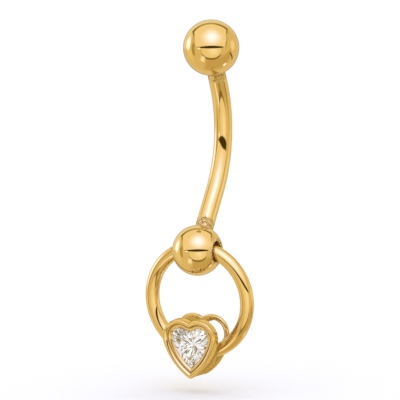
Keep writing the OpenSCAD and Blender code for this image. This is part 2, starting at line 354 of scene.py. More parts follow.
# The heart's outline, which collar, rail, wall and stone follow
heart = {
    "height": 5.34,
    "lobeRadius": 1.66,
    "lobeX": 0.94,
    "sideRadius": 5.7,
    "tipRadius": 0.18,
    "sharpestTip": 0.04,
    "notchRadius": 0.12,
    "faceAhead": 2.51,
    "lift": 0.69,
    "depth": 3.18,
    "steps": (8, 44, 56, 10),  # along tip, side, lobe and notch
}
lobeLine = hoopDrop + hoop["radius"] - heart["lift"] - heart["height"] / 2 + heart["lobeRadius"]
tipHeight = heart["lobeRadius"] - heart["height"]
frontShape = (heart["sideRadius"], heart["height"], heart["tipRadius"])


def heartPlace(x, depth, z):
    # Heart's frame to the row's: depth runs back from the front face, z up from the line through the lobes
    x, depth, z = np.broadcast_arrays(x, depth, z)
    return pendantPlace(np.stack([x, depth - heart["faceAhead"], z - lobeLine], -1))


def sideCentre(shape):
    # Middle of the side's arc, which touches the lobe and the tip's arc: the point at side - lobe radius
    # from the lobe's middle and side - tip radius from the tip's middle
    side, height, tip = shape
    a = np.array([heart["lobeX"], 0.0])
    b = np.array([0.0, heart["lobeRadius"] - height + tip])
    r1, r2 = side - heart["lobeRadius"], side - tip
    d = np.linalg.norm(b - a)
    u = (b - a) / d
    s = (r1 * r1 - r2 * r2 + d * d) / (2 * d)
    return a + s * u + math.sqrt(r1 * r1 - s * s) * np.array([u[1], -u[0]])


def tipArc(grow, shape):
    # The tip's arc where the outline is moved outwards by grow: its radius, its middle's height, and the
    # angle at which the side's arc takes over
    side, _, tip = shape
    cx, cz = sideCentre(shape)
    tipR = np.maximum(tip + grow, heart["sharpestTip"])
    tipZ = cz - np.sqrt((side + grow - tipR) ** 2 - cx * cx)
    return tipR, tipZ, np.arctan2(tipZ - cz, -cx)


def arcRow(cx, cz, r, start, end, steps, first=1):
    # Arc points centre + r (cos a, sin a), a running evenly from start to end
    a = start + (end - start) * np.arange(first, steps + 1) / steps
    return cx + r * np.cos(a), cz + r * np.sin(a)


def joined(arcs):
    return tuple(np.hstack(row) for row in zip(*arcs))


def halfOutline(grow, shape):
    # Right half of the heart, moved outwards by grow, from the tip up to the notch: four arcs that run
    # into each other. One row for each value of grow
    grow = np.asarray(grow, float).reshape(-1, 1)
    steps = heart["steps"]
    lobeX, lobeR, notchR = heart["lobeX"], heart["lobeRadius"], heart["notchRadius"]
    cx, cz = sideCentre(shape)
    tipR, tipZ, sideLow = tipArc(grow, shape)
    notchZ = math.sqrt((lobeR + notchR) ** 2 - lobeX**2)
    sideTop = math.atan2(-cz, lobeX - cx)
    lobeEnd = math.atan2(notchZ, -lobeX)
    return joined([
        arcRow(0, tipZ, tipR, -math.pi / 2, sideLow, steps[0], first=0),
        arcRow(cx, cz, shape[0] + grow, sideLow, sideTop, steps[1]),
        arcRow(lobeX, 0, lobeR + grow, sideTop, lobeEnd, steps[2]),
        arcRow(0, notchZ, notchR - grow, lobeEnd - math.pi, -math.pi / 2, steps[3]),
    ])


def sideRun(inset, foot, shape):
    # From the tip up the right side to height foot, moved in by inset; one row for each foot
    cx, cz = sideCentre(shape)
    tipR, tipZ, sideLow = tipArc(-inset, shape)
    reach = shape[0] - inset
    top = np.arcsin((foot - cz) / reach)
    steps = wall["steps"]
    return joined([
        arcRow(0, tipZ, tipR, -math.pi / 2, sideLow + 0 * top, steps[0], first=0),
        arcRow(cx, cz, reach, sideLow, top, steps[1]),
    ])


def mirrored(x, z):
    # Both halves of a closed loop from its right half
    return np.concatenate([x, -x[..., -2:0:-1]], -1), np.concatenate([z, z[..., -2:0:-1]], -1)


def outsideBy(x, z, shape):
    # How far a point on the right lies outside the outline: distance to the side's arc below the line
    # from its middle through the lobe's, and to the lobe above it
    cx, cz = sideCentre(shape)
    lobeX = heart["lobeX"]
    above = (cx - x) * cz - (z - cz) * (lobeX - cx) < 0
    return np.where(above, np.hypot(x - lobeX, z) - heart["lobeRadius"], np.hypot(x - cx, z - cz) - shape[0])


def outlineSweep(name, profile, shape, smoothBelow):
    # Closed band: each profile point (inset, depth) becomes the heart's outline moved in by inset at that
    # depth
    x, z = mirrored(*halfOutline(-profile[:, 0], shape))
    return gridPiece(name, heartPlace(x, profile[:, 1, None], z), wrapRows=True, smoothBelow=smoothBelow)


# The collar that holds the stone
collar = {
    "width": 0.79,
    "depth": 0.8,
    "lipLap": 0.17,
    "girdleAt": 0.54,
    "girdleRoom": 0.055,
    "seatSlope": 0.14,
    # lines of the section as (inset, depth), in shares of the width and the depth
    "ridge": [(0, 0.5), (0, 0.3), (0.012, 0.19), (0.045, 0.09), (0.1, 0.03), (0.17, 0.003), (0.25, 0.005),
              (0.34, 0.027), (0.43, 0.075), (0.51, 0.145), (0.565, 0.215), (0.6, 0.29)],
    "crease": (0.615, 0.335),
    "lip": [(0.628, 0.325), (0.65, 0.29), (0.69, 0.26), (0.745, 0.247), (0.81, 0.26), (0.88, 0.3),
            (0.94, 0.355), (0.98, 0.41), (1, 0.47)],
    "spanSteps": 5,
}
collarSize = np.array([collar["width"], collar["depth"]])


def collarRidge():
    # Outer wall and broad rounded band, as far as the crease
    return np.vstack([[(0, collar["depth"])], smoothLine(collar["ridge"], collar["spanSteps"]) * collarSize])


def creasePlace():
    # How far along the section the crease lies, as the UV map counts it
    return float(np.hypot(*np.diff(collarRidge(), axis=0).T).sum())


def buildCollar():
    # Outer wall, broad rounded band, crease and lip, then the stone's seat
    lip = smoothLine(collar["lip"], collar["spanSteps"]) * collarSize
    under = collar["width"] - collar["lipLap"]
    at, room = collar["girdleAt"], collar["girdleRoom"]
    seat = [(under, at - room), (under, at + room), (under + collar["seatSlope"], collar["depth"])]
    profile = np.vstack([collarRidge(), [collar["crease"] * collarSize], lip, seat])
    return outlineSweep("rimCollar", profile, frontShape, smoothBelow=32)


# The thin rail at the back
rail = {
    "width": 0.5,
    "thickness": 0.38,
    "sideRadius": 4.9,
    "drop": 0.18,
    "tipRadius": 0.5,
    "squareness": 2.6,
    "around": 36,
}
railShape = (rail["sideRadius"], heart["height"] + rail["drop"], rail["tipRadius"])
railAt = heart["depth"] - rail["thickness"]
wallGap = railAt - collar["depth"]


def buildRail():
    # Rounded band: a superellipse of the rail's width and thickness
    a = fullTurn(rail["around"])
    power = 2 / rail["squareness"]
    across, deep = (0.5 + 0.5 * np.sign(v) * np.abs(v) ** power for v in (-np.cos(a), np.sin(a)))
    profile = np.stack([across * rail["width"], railAt + deep * rail["thickness"]], -1)
    return outlineSweep("backRail", profile, railShape, smoothBelow=60)


# The wall between collar and rail, and its bridge at the notch
wall = {
    "inset": 0.16,
    "tipInset": 0.03,  # the wall comes out to the outline at the tip
    "tipRise": 1.5,  # and is back at its inset this far above it
    "thickness": 0.36,
    "windowFoot": -0.65,
    "cornerRadius": 0.2,
    "edgeRound": 0.05,
    "tipTop": 0.9,  # height of the solid tip
    "rooted": 0.06,  # how far it reaches into collar and rail
    "rows": 34,
    "steps": (8, 40),  # round the tip and up the side
}
bridge = {
    "width": 2.1,  # closed stretch at the notch
    "flare": 0.4,  # how much of the corners' radius it widens by at collar and rail
    "edgeRound": 0.07,
    "rows": 30,
    "across": 61,
}


def wallDepths(rows):
    # Depths from collar to rail, close together near both, and how far the quarter round of the window's
    # corner has risen at each
    half, r = wallGap / 2, wall["cornerRadius"]
    place = -np.cos(np.linspace(0, math.pi, rows))[:, None] * (half + wall["rooted"])
    near = np.clip(np.abs(place) - (half - r), 0, r)
    return collar["depth"] + half + place, r - np.sqrt(r * r - near * near)


def wallHalf(shape, foot):
    # Right half of the wall's section: up the outer side, over a rounded edge at the window's foot and
    # down the inner side. The outer side comes out to the outline towards the tip, by a smooth step
    inset, edge, t = wall["inset"], wall["edgeRound"], wall["thickness"]
    outer, flush, inner = (sideRun(v, foot - edge, shape) for v in (inset, wall["tipInset"], inset + t))
    rise = np.clip((outer[1] - tipHeight) / wall["tipRise"], 0, 1)
    rise = rise * rise * (3 - 2 * rise)
    outX, outZ = (rise * a + (1 - rise) * b for a, b in zip(outer, flush))
    a = np.linspace(0, math.pi / 2, roundSteps)
    roundIn, roundUp = edge * (1 - np.cos(a)), edge * (np.sin(a) - 1)
    insets = inset + np.concatenate([roundIn[1:], t - roundIn[:0:-1]])
    edgeZ = foot + np.concatenate([roundUp[1:], roundUp[:0:-1]])
    cx, cz = sideCentre(shape)
    edgeX = cx + np.sqrt((shape[0] - insets) ** 2 - (edgeZ - cz) ** 2)
    return np.hstack([outX, edgeX, inner[0][:, ::-1]]), np.hstack([outZ, edgeZ, inner[1][:, ::-1]])


def buildWall():
    # The lower wall from collar to rail, open above the window's foot. Rows run back in depth, blended from
    # the collar's outline to the rail's. Each row is a closed loop: the outer side, a rounded edge and the
    # inner side, which stays above the solid tip
    depth, corner = wallDepths(wall["rows"])
    share = np.clip((depth - collar["depth"]) / wallGap, 0, 1)
    foot = wall["windowFoot"] + corner
    front, back = wallHalf(frontShape, foot), wallHalf(railShape, foot)
    x, z = ((1 - share) * f + share * b for f, b in zip(front, back))
    innerCount = sum(wall["steps"]) + 1
    z[:, -innerCount:] = np.maximum(z[:, -innerCount:], tipHeight + wall["tipTop"])
    x, z = mirrored(x, z)
    count = x.shape[1]
    half = (count + 2) // 2
    index = np.arange(count)
    mate = np.where(index < half, half - 1 - index, count + half - 1 - index) % count
    return gridPiece("galleryWall", closeEnds(heartPlace(x, depth, z), mate), smoothBelow=50)


def notchHeight(x, inset):
    # Height of the outline near the notch, moved in by inset: the notch's arc as far as it touches the
    # lobe's, and then the lobe's
    lobeX, lobeR, notchR = heart["lobeX"], heart["lobeRadius"], heart["notchRadius"]
    x = np.abs(x)
    touch = (notchR + inset) * lobeX / (lobeR + notchR)
    onNotch = np.sqrt((notchR + inset) ** 2 - np.minimum(x, touch) ** 2)
    onLobe = np.sqrt((lobeR - inset) ** 2 - (x - lobeX) ** 2)
    return np.where(x < touch, math.sqrt((lobeR + notchR) ** 2 - lobeX**2) - onNotch, onLobe)


def buildBridge():
    # The wall's closed stretch at the notch. Its section is a flat strip with rounded ends that follows the
    # outline. It is carried from collar to rail, and widens in a quarter round where it meets them
    depth, corner = wallDepths(bridge["rows"])
    reach = bridge["width"] / 2 + bridge["flare"] * corner
    edge, t = bridge["edgeRound"], wall["thickness"]
    a = np.linspace(0, math.pi / 2, roundSteps)
    capX = edge * np.concatenate([np.sin(a) - 1, np.sin(a[::-1]) - 1])
    capInset = np.concatenate([edge * (1 - np.cos(a)), t - edge * (1 - np.cos(a[::-1]))])
    run = np.linspace(-1, 1, bridge["across"])
    x = np.hstack([run * (reach - edge), reach + capX, run[::-1] * (reach - edge), -reach - capX[::-1]])
    inset = wall["inset"] + np.concatenate([0 * run, capInset, t + 0 * run, capInset[::-1]])
    grid = heartPlace(x, depth, notchHeight(x, inset))
    sides = 2 * len(run) + len(capX)
    mate = np.concatenate([np.arange(sides)[::-1], sides + np.arange(len(capX))[::-1]])
    return gridPiece("wallBridge", closeEnds(grid, mate), smoothBelow=50)


# The stone
stone = {
    "gap": 0.04,
    "girdleThickness": 0.03,
    "crown": 0.4,
    "tableInset": 0.68,
    "pavilion": 1.75,
    "culetLift": 0.3,
    "mains": 16,
    "starIn": 0.5,
    "starUp": 0.62,
    "lowerHalf": 0.7,
}


def evenLoop(inset, depth):
    # The heart's outline moved in by inset, as points at even distances from tip to notch and back, two
    # for each main
    x, z = (v[0] for v in halfOutline(-inset, frontShape))
    run = np.concatenate([[0], np.cumsum(np.hypot(np.diff(x), np.diff(z)))])
    place = np.linspace(0, run[-1], stone["mains"] + 1)
    x, z = mirrored(np.interp(place, run, x), np.interp(place, run, z))
    return np.stack([x, np.full_like(x, depth), z], -1)


def buildStone():
    # Heart brilliant. Crown: table, stars, kites and upper halves. Below: lower halves, and mains that meet
    # in the culet. Ring points are the outline moved in at even steps, and the facets join them by number
    n = stone["mains"]
    crown = collar["girdleAt"] - stone["girdleThickness"] / 2
    keel = collar["girdleAt"] + stone["girdleThickness"] / 2
    inset = collar["width"] - collar["lipLap"] + stone["gap"]
    girdleUp, girdleLow = evenLoop(inset, crown), evenLoop(inset, keel)
    table = evenLoop(inset + stone["tableInset"], crown - stone["crown"])[::2]
    starInset = inset + stone["tableInset"] * stone["starIn"]
    stars = evenLoop(starInset, crown - stone["crown"] * stone["starUp"])[1::2]
    middle = heart["lobeRadius"] - heart["height"] / 2
    culet = np.array([0, keel + stone["pavilion"], middle + stone["culetLift"]])
    lows = girdleLow[1::2] + stone["lowerHalf"] * (culet - girdleLow[1::2])
    points = np.vstack([girdleUp, girdleLow, table, stars, lows, culet])
    # each main spans the girdle's points g, g1 and g2. low, t0, m0 and l0 are the numbers of the first point
    # of the lower girdle, the table, the stars and the lower halves
    j = np.arange(n)
    nextJ = (j + 1) % n
    g, g1, g2 = 2 * j, 2 * j + 1, 2 * nextJ
    low, t0, m0, l0 = 2 * n, 4 * n, 5 * n, 6 * n
    tip = np.full(n, 7 * n)
    facets = [
        (t0 + j, t0 + nextJ, m0 + j),
        (m0 + j, g1, g),
        (m0 + j, g2, g1),
        (t0 + nextJ, m0 + nextJ, g2),
        (t0 + nextJ, g2, m0 + j),
        (low + g, low + g1, l0 + j),
        (low + g1, low + g2, l0 + j),
        (low + g2, l0 + nextJ, l0 + j),
        (l0 + j, l0 + nextJ, tip),
        (g, g1, low + g1, low + g),
        (g1, g2, low + g2, low + g1),
    ]
    faces = [face for group in facets for face in np.stack(group, -1).tolist()]
    faces.append(list(range(t0 + n - 1, t0 - 1, -1)))
    mesh = bpy.data.meshes.new("heartStone")
    mesh.from_pydata((heartPlace(*points.T) * mm).tolist(), [], faces)
    work = bmesh.new()
    work.from_mesh(mesh)
    bmesh.ops.recalc_face_normals(work, faces=work.faces)
    work.to_mesh(mesh)
    work.free()
    return placeObject("heartStone", mesh)


# Tools for materials and light
def link(tree, source, target):
    # A socket is joined, a plain value is set
    if isinstance(source, bpy.types.NodeSocket):
        tree.links.new(source, target)
    else:
        target.default_value = source


def calc(tree, kind, *values):
    node = tree.nodes.new("ShaderNodeMath")
    node.operation = kind
    for value, socket in zip(values, node.inputs):
        link(tree, value, socket)
    return node.outputs[0]


def times(tree, product, *values):
    for value in values:
        product = calc(tree, "MULTIPLY", product, value)
    return product


def apart(tree, value, middle, half):
    # Signed distance from a middle, in units of half
    return calc(tree, "DIVIDE", calc(tree, "SUBTRACT", value, middle), half)


def ramp(tree, value, low, high, outLow=0.0, outHigh=1.0):
    # A smooth step from outLow at low to outHigh at high
    node = tree.nodes.new("ShaderNodeMapRange")
    node.interpolation_type = "SMOOTHSTEP"
    settings = {"Value": value, "From Min": low, "From Max": high, "To Min": outLow, "To Max": outHigh}
    for name, setting in settings.items():
        link(tree, setting, node.inputs[name])
    return node.outputs["Result"]


def mixColour(tree, amount, first, second):
    node = tree.nodes.new("ShaderNodeMix")
    node.data_type = "RGBA"
    node.clamp_factor = True
    link(tree, amount, node.inputs["Factor"])
    ends = [socket for socket in node.inputs if socket.type == "RGBA"]
    link(tree, first, ends[0])
    link(tree, second, ends[1])
    return [socket for socket in node.outputs if socket.type == "RGBA"][0]


def noise(tree, vector, scale, detail=2.0, rough=0.5, distortion=0.0):
    node = tree.nodes.new("ShaderNodeTexNoise")
    settings = {"Vector": vector, "Scale": scale, "Detail": detail, "Roughness": rough}
    settings["Distortion"] = distortion
    for name, setting in settings.items():
        link(tree, setting, node.inputs[name])
    return node.outputs["Fac"]


def vectorMath(tree, kind, first, second):
    # A product is a vector, and a distance or a dot product is a number
    node = tree.nodes.new("ShaderNodeVectorMath")
    node.operation = kind
    link(tree, first, node.inputs[0])
    link(tree, second, node.inputs[1])
    return node.outputs["Vector" if kind == "MULTIPLY" else "Value"]


def partX(tree, vector):
    node = tree.nodes.new("ShaderNodeSeparateXYZ")
    link(tree, vector, node.inputs["Vector"])
    return node.outputs["X"]


def bumpFrom(tree, height, distance, normal=None):
    node = tree.nodes.new("ShaderNodeBump")
    node.inputs["Distance"].default_value = distance
    link(tree, height, node.inputs["Height"])
    if normal is not None:
        link(tree, normal, node.inputs["Normal"])
    return node.outputs["Normal"]


def newGroup(name, inputs, outputs):
    # Inputs are given by name with their first value: a number, a colour, or None for a vector
    kinds = {float: "NodeSocketFloat", tuple: "NodeSocketColor", type(None): "NodeSocketVector"}
    group = bpy.data.node_groups.new(name, "ShaderNodeTree")
    for label, value in inputs.items():
        socket = group.interface.new_socket(label, in_out="INPUT", socket_type=kinds[type(value)])
        if value is not None:
            socket.default_value = value
    for label in outputs:
        kind = "NodeSocketColor" if label == "Color" else "NodeSocketFloat"
        group.interface.new_socket(label, in_out="OUTPUT", socket_type=kind)
    return group, group.nodes.new("NodeGroupInput").outputs, group.nodes.new("NodeGroupOutput").inputs


def placeGroup(tree, group, values):
    node = tree.nodes.new("ShaderNodeGroup")
    node.node_tree = group
    for name, value in values.items():
        link(tree, value, node.inputs[name])
    return node.outputs


# Hand polish. Each noise is given by scale, detail and roughness
handPolish = {
    "wave": (420.0, 1.0, 0.4),
    "haze": (2600.0, 4.0, 0.6),
    "lines": (1.0, 3.0, 0.65),
    "hazeFrom": (0.45, 0.75),
    "linesFrom": (0.5, 0.72),
    "linesShare": 0.6,  # of the scuffs
}


def makePolish():
    # Slow waves in the skin, fine buffing lines across the stretch, and a haze of scuffs
    inputs = {"Vector": None, "Lines": None, "Shine": 0.05, "Scuff": 0.04, "Line Depth": 0.1}
    group, given, put = newGroup("handPolish", inputs, ["Roughness", "Height"])
    wave = noise(group, given["Vector"], *handPolish["wave"])
    haze = noise(group, given["Vector"], *handPolish["haze"])
    lines = noise(group, given["Lines"], *handPolish["lines"])
    hazy = ramp(group, haze, *handPolish["hazeFrom"])
    lined = times(group, ramp(group, lines, *handPolish["linesFrom"]), handPolish["linesShare"])
    scuffed = times(group, calc(group, "ADD", hazy, lined), given["Scuff"])
    link(group, calc(group, "ADD", given["Shine"], scuffed), put["Roughness"])
    link(group, calc(group, "ADD", wave, times(group, lines, given["Line Depth"])), put["Height"])
    return group


# Marks of soldering and of a tool round a joint
jointMarks = {
    "noise": (3100.0, 2.0, 0.55, 1.4),  # scale, detail, roughness and distortion
    "ragged": 0.5,  # how much the noise frays the edge
    "fade": (1.3, 1.0),  # in shares of the reach
    "pitsFrom": (0.52, 0.4),
}


def makeMarks():
    # Crumpled relief that fades out with distance, and the dark pits in it
    inputs = {"Vector": None, "Joint": None, "Reach": 0.0012}
    group, given, put = newGroup("jointMarks", inputs, ["Pits", "Height"])
    crumple = noise(group, given["Vector"], *jointMarks["noise"])
    away = vectorMath(group, "DISTANCE", given["Vector"], given["Joint"])
    away = calc(group, "DIVIDE", away, given["Reach"])
    frayed = calc(group, "ADD", away, times(group, crumple, jointMarks["ragged"]))
    mask = ramp(group, frayed, *jointMarks["fade"])
    link(group, times(group, mask, ramp(group, crumple, *jointMarks["pitsFrom"])), put["Pits"])
    link(group, times(group, mask, crumple), put["Height"])
    return group


alloyTone = {"scale": 260.0, "castScale": 900.0, "distortion": 0.6, "driftFrom": (0.35, 0.65)}


def makeTone():
    # Colour of the alloy: two close tones that drift into each other
    white = (1, 1, 1, 1)
    inputs = {"Vector": None, "Tone": white, "Warm Tone": white, "Scale": alloyTone["scale"]}
    group, given, put = newGroup("alloyTone", inputs, ["Color"])
    drift = noise(group, given["Vector"], given["Scale"], distortion=alloyTone["distortion"])
    drift = ramp(group, drift, *alloyTone["driftFrom"])
    link(group, mixColour(group, drift, given["Tone"], given["Warm Tone"]), put["Color"])
    return group


polishGroup, marksGroup, toneGroup = makePolish(), makeMarks(), makeTone()

goldTones = {
    "tone": (0.94, 0.675, 0.28, 1),
    "warmTone": (0.93, 0.65, 0.25, 1),
    "castLight": (0.96, 0.70, 0.27, 1),
    "castTone": (0.90, 0.63, 0.20, 1),
    "pitTone": (0.40, 0.235, 0.06, 1),
    "creaseShadeTone": (0.09, 0.05, 0.012, 1),  # painted shade along the crease
    "echoTone": (0.72, 0.59, 0.32, 1),  # of gold that is seen in gold
    "edgeTone": (0.96, 0.79, 0.52, 1),  # of the setting where it is seen along its skin
}
# shine and scuff are roughness, wave is the bump's height in millimetres. lines stretches the buffing lines:
# per metre of the object, or per millimetre along and around a piece where they follow it
goldFinish = {
    "ball": {"shine": 0.035, "scuff": 0.03, "wave": 0.006, "lines": (2500, 9000, 2500), "lineDepth": 0.01},
    "bar": {"shine": 0.045, "scuff": 0.05, "wave": 0.008, "lines": (0.5, 9.0, 1.0), "lineDepth": 0.03},
    "wire": {"shine": 0.045, "scuff": 0.05, "wave": 0.012, "lines": (0.6, 8.0, 1.0), "lineDepth": 0.03},
    "setting": {"shine": 0.06, "scuff": 0.06, "wave": 0.01, "lines": (3000, 3000, 11000), "lineDepth": 0.03},
}
# Painted shade along the collar's crease: where it lies, how noise breaks it up, and how it dulls the gold
creaseShadeLook = {
    "off": (0.13, 0.06),  # the painted shade line fades out and is full at these distances from the crease
    "patchyScale": 900.0,
    "patchy": (0.35, 0.65, 0.7, 1.0),
    "toRight": (-0.0015, 0.001, 0.4, 1.0),  # fainter on the left, by X in metres
    "roughness": 0.4,
    "lessMetal": 0.85,
}
# Middle, reach and depth of the marks round each joint
seatMiddle = topBall - seatFloor * alongBar(topLean)
solderMiddle = lowBall + lowRadius * alongBar(lowLean)
jointsOf = {
    "topBallGold": [(seatMiddle, 1.7, 0.4)],
    "lowBallGold": [
        (solderMiddle, 1.35, 0.3),
        (lowBall + bevelX * rightward, 1.22, 0.25),
        (lowBall - bevelX * rightward, 1.22, 0.25),
    ],
    "barGold": [(seatMiddle, 1.15, 0.4), (solderMiddle, 1.1, 0.35)],
}


def emptyMaterial(name):
    material = bpy.data.materials.new(name)
    material.use_nodes = True
    tree = material.node_tree
    place = tree.nodes.new("ShaderNodeTexCoord").outputs["Object"]
    return material, tree, tree.nodes["Principled BSDF"], place


def inGold(tree, colour, shader):
    # Gold mirrored in gold stays yellow
    seen = tree.nodes.new("ShaderNodeLightPath").outputs["Is Glossy Ray"]
    link(tree, mixColour(tree, seen, colour, goldTones["echoTone"]), shader.inputs["Base Color"])


def alloyColour(tree, place, tone, warmTone, scale):
    values = {"Vector": place, "Tone": goldTones[tone], "Warm Tone": goldTones[warmTone], "Scale": scale}
    return placeGroup(tree, toneGroup, values)["Color"]


def creaseShadeMask(tree, place, run):
    # 1 in the painted shade line of the crease, less in noise patches and towards the left
    off = calc(tree, "ABSOLUTE", calc(tree, "SUBTRACT", partX(tree, run), creasePlace()))
    patchy = ramp(tree, noise(tree, place, creaseShadeLook["patchyScale"]), *creaseShadeLook["patchy"])
    faint = ramp(tree, partX(tree, place), *creaseShadeLook["toRight"])
    return times(tree, ramp(tree, off, *creaseShadeLook["off"]), patchy, faint)


def makeGold(name, kind, alongPiece=False, crease=False):
    # Polished gold, with the marks of its joints and, on the collar, painted shade along the crease
    material, tree, shader, place = emptyMaterial(name)
    finish = goldFinish[kind]
    uvMap = tree.nodes.new("ShaderNodeUVMap")
    uvMap.uv_map = "along"
    run = uvMap.outputs["UV"]
    colour = alloyColour(tree, place, "tone", "warmTone", alloyTone["scale"])
    lines = vectorMath(tree, "MULTIPLY", run if alongPiece else place, finish["lines"])
    values = {"Vector": place, "Lines": lines, "Shine": finish["shine"], "Scuff": finish["scuff"],
              "Line Depth": finish["lineDepth"]}
    polish = placeGroup(tree, polishGroup, values)
    rough, metal = polish["Roughness"], 1.0
    normal = bumpFrom(tree, polish["Height"], finish["wave"] * mm)
    for middle, reach, depth in jointsOf.get(name, ()):
        values = {"Vector": place, "Joint": tuple(middle * mm), "Reach": reach * mm}
        marks = placeGroup(tree, marksGroup, values)
        normal = bumpFrom(tree, marks["Height"], depth * mm, normal)
        colour = mixColour(tree, marks["Pits"], colour, goldTones["pitTone"])
    if crease:
        # Painted shade: a dark line of colour along the collar's crease, also rougher and less metallic
        # there
        creaseShadeAmount = creaseShadeMask(tree, place, run)
        colour = mixColour(tree, creaseShadeAmount, colour, goldTones["creaseShadeTone"])
        rough = calc(tree, "ADD", rough, times(tree, creaseShadeAmount, creaseShadeLook["roughness"]))
        metal = calc(tree, "SUBTRACT", 1.0, times(tree, creaseShadeAmount, creaseShadeLook["lessMetal"]))
        shader.inputs["Specular Tint"].default_value = goldTones["edgeTone"]
    inGold(tree, colour, shader)
    link(tree, rough, shader.inputs["Roughness"])
    link(tree, metal, shader.inputs["Metallic"])
    link(tree, normal, shader.inputs["Normal"])
    return material


# Skin of the wall as it came from the casting
castSkin = {
    "grain": 4200.0,
    "fine": (7140.0, 3.0, 0.6),  # noise between the grains: scale, detail and roughness
    "grainDepth": -0.7,
    "shine": 0.14,
    "roughness": 0.2,  # added by the noise
    "height": 0.05,
    "pitsFrom": (0.55, 0.3),
    "strokes": (500, 4200, 500),  # of the file: how often they change along X, Y and Z, per metre
    "strokesNoise": (1.0, 3.0, 0.6),
    "strokesFrom": (0.5, 0.66, 0.0, 0.8),
}


def makeCastGold():
    # Grains with shallow pits between them, under the strokes of a file
    material, tree, shader, place = emptyMaterial("castGold")
    cells = tree.nodes.new("ShaderNodeTexVoronoi")
    cells.feature = "SMOOTH_F1"
    link(tree, place, cells.inputs["Vector"])
    link(tree, castSkin["grain"], cells.inputs["Scale"])
    fine = noise(tree, place, *castSkin["fine"])
    high = calc(tree, "ADD", times(tree, cells.outputs["Distance"], castSkin["grainDepth"]), fine)
    filed = noise(tree, vectorMath(tree, "MULTIPLY", place, castSkin["strokes"]), *castSkin["strokesNoise"])
    colour = alloyColour(tree, place, "castLight", "castTone", alloyTone["castScale"])
    for mask in (ramp(tree, fine, *castSkin["pitsFrom"]), ramp(tree, filed, *castSkin["strokesFrom"])):
        colour = mixColour(tree, mask, colour, goldTones["pitTone"])
    inGold(tree, colour, shader)
    rough = calc(tree, "ADD", times(tree, fine, castSkin["roughness"]), castSkin["shine"])
    link(tree, rough, shader.inputs["Roughness"])
    link(tree, bumpFrom(tree, high, castSkin["height"] * mm), shader.inputs["Normal"])
    shader.inputs["Specular Tint"].default_value = goldTones["edgeTone"]
    shader.inputs["Metallic"].default_value = 1.0
    return material


stoneLook = {
    "index": 2.3,
    "haze": (3500.0, 3.0, 0.6),
    "roughness": (0.4, 0.8, 0.0, 0.02),
    "colours": ((1, 1, 1, 1), (0.996, 0.997, 0.998, 1)),
    "edgeTint": (1, 0.92, 0.66, 1),
}


def makeClearStone():
    # Clear cut stone: a breath of polishing haze is all that changes over its facets
    material, tree, shader, place = emptyMaterial("clearStone")
    haze = noise(tree, place, *stoneLook["haze"])
    link(tree, ramp(tree, haze, *stoneLook["roughness"]), shader.inputs["Roughness"])
    link(tree, mixColour(tree, haze, *stoneLook["colours"]), shader.inputs["Base Color"])
    shader.inputs["Transmission Weight"].default_value = 1.0
    shader.inputs["IOR"].default_value = stoneLook["index"]
    shader.inputs["Specular Tint"].default_value = stoneLook["edgeTint"]
    return material


topBallGold = makeGold("topBallGold", "ball")
lowBallGold = makeGold("lowBallGold", "ball")
barGold = makeGold("barGold", "bar", alongPiece=True)
wireGold = makeGold("wireGold", "wire", alongPiece=True)
settingGold = makeGold("settingGold", "setting")
# the collar's gold carries the painted shade of its crease
collarGold = makeGold("collarGold", "setting", crease=True)
castGold = makeCastGold()
clearStone = makeClearStone()
print("materials made")


def dress(piece, material, body, slot, *nodes):
    piece.data.materials.append(material)
    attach(piece, body)
    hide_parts(*nodes)
    print("made", piece.name, len(piece.data.polygons), "faces")


dress(buildBar(), barGold, "barbell", "yellow_gold", "barbell")
dress(buildPost(), barGold, "barbell", "yellow_gold", "barbell")
dress(buildLowerBall(), lowBallGold, "barbell", "yellow_gold", "barbell")
dress(buildTopBall(), topBallGold, "top_ball", "yellow_gold", "top_ball")
dress(buildHoop(), wireGold, "pendant", "yellow_gold", "heart_hoop")
dress(buildCollar(), collarGold, "pendant", "yellow_gold", "heart_hoop")
dress(buildRail(), settingGold, "pendant", "yellow_gold", "heart_hoop")
dress(buildWall(), castGold, "pendant", "yellow_gold", "heart_hoop")
dress(buildBridge(), castGold, "pendant", "yellow_gold", "heart_hoop")
dress(buildStone(), clearStone, "pendant", "clear_stone", "heart_stone")

# The camera and its axes: back points to the viewer
view = {
    "azimuth": 27.25,
    "elevation": 6.5,
    "millimetresAcross": 35.48,
    "lens": 400.0,
    "sensor": 36.0,
    "aim": (0.2155, 4.47),  # middle of the frame, right of and above the lower ball's middle
    "clip": (0.01, 20.0),
}
az, el = math.radians(view["azimuth"]), math.radians(view["elevation"])
back = np.array([math.sin(az) * math.cos(el), -math.cos(az) * math.cos(el), math.sin(el)])
right = np.array([math.cos(az), math.sin(az), 0])
up = np.cross(back, right)


def makeCamera():
    camera = bpy.data.cameras.new("photoCamera")
    camera.lens, camera.sensor_width = view["lens"], view["sensor"]
    camera.clip_start, camera.clip_end = view["clip"]
    holder = placeObject("photoCamera", camera)
    distance = view["millimetresAcross"] * view["lens"] / view["sensor"]
    place = (lowBall + right * view["aim"][0] + up * view["aim"][1] + back * distance) * mm
    rows = [[right[k], up[k], back[k], place[k]] for k in range(3)]
    holder.matrix_world = Matrix(rows + [[0, 0, 0, 1]])
    scene.camera = holder


paper = {
    "reach": 3.0,  # metres each way
    "height": -0.0222,
    "colours": ((0.955, 0.955, 0.957, 1), (0.97, 0.97, 0.972, 1)),
    "grain": (40.0, 3.0),
    "roughness": 0.9,
    "specular": 0.1,
}


